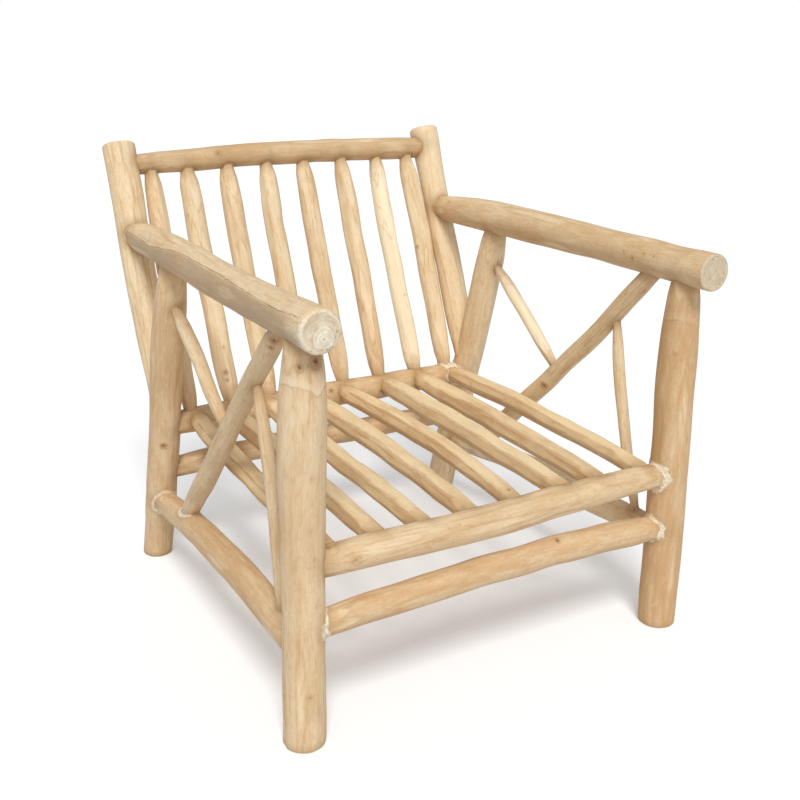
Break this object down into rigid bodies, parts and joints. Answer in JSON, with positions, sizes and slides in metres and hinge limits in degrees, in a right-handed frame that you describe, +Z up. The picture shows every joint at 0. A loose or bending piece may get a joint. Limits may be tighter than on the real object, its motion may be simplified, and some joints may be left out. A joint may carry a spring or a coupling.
{
  "type": "rustic armchair",
  "caption": "Low rustic armchair of peeled round branches: reclined spindle back, slatted seat, log arms with slanted braces, legs joined by stretchers, every log tenoned into its neighbours.",
  "frame": {"origin": "on the floor, under the middle of the chair's outline", "axes": "+Z up, +Y from the front legs towards the back, +X to the right seen from the front"},
  "size_m": [0.7546, 0.8596, 0.7876],
  "materials": {
    "leg_wood": "peeled, hand-shaved and sanded, satin-matte",
    "arm_wood": "peeled, hand-shaved and sanded, satin-matte",
    "post_wood": "peeled, hand-shaved and sanded, satin-matte",
    "spindle_wood": "peeled, hand-shaved and sanded, satin-matte",
    "slat_wood": "peeled, hand-shaved and sanded, satin-matte",
    "brace_wood": "peeled, hand-shaved and sanded, satin-matte",
    "rail_wood": "peeled, hand-shaved and sanded, satin-matte"
  },
  "bodies": {
    "root": {"back_spindle_1": "spindle_wood", "back_spindle_2": "spindle_wood", "back_spindle_3": "spindle_wood", "back_spindle_4": "spindle_wood", "back_spindle_5": "spindle_wood", "back_spindle_6": "spindle_wood", "back_spindle_7": "spindle_wood", "back_spindle_8": "spindle_wood", "crest_rail": "rail_wood", "front_left_leg": "leg_wood", "front_right_leg": "leg_wood", "front_seat_rail": "rail_wood", "front_stretcher": "rail_wood", "left_arm": "arm_wood", "left_back_post": "post_wood", "left_front_brace": "brace_wood", "left_main_brace": "brace_wood", "left_rear_brace": "brace_wood", "left_side_stretcher": "rail_wood", "rear_left_leg": "leg_wood", "rear_right_leg": "leg_wood", "rear_seat_rail": "rail_wood", "rear_stretcher": "rail_wood", "right_arm": "arm_wood", "right_back_post": "post_wood", "right_front_brace": "brace_wood", "right_main_brace": "brace_wood", "right_rear_brace": "brace_wood", "right_side_stretcher": "rail_wood", "seat_slat_1": "slat_wood", "seat_slat_2": "slat_wood", "seat_slat_3": "slat_wood", "seat_slat_4": "slat_wood", "seat_slat_5": "slat_wood", "seat_slat_6": "slat_wood", "seat_slat_7": "slat_wood", "seat_slat_8": "slat_wood"}
  },
  "joints": []
}
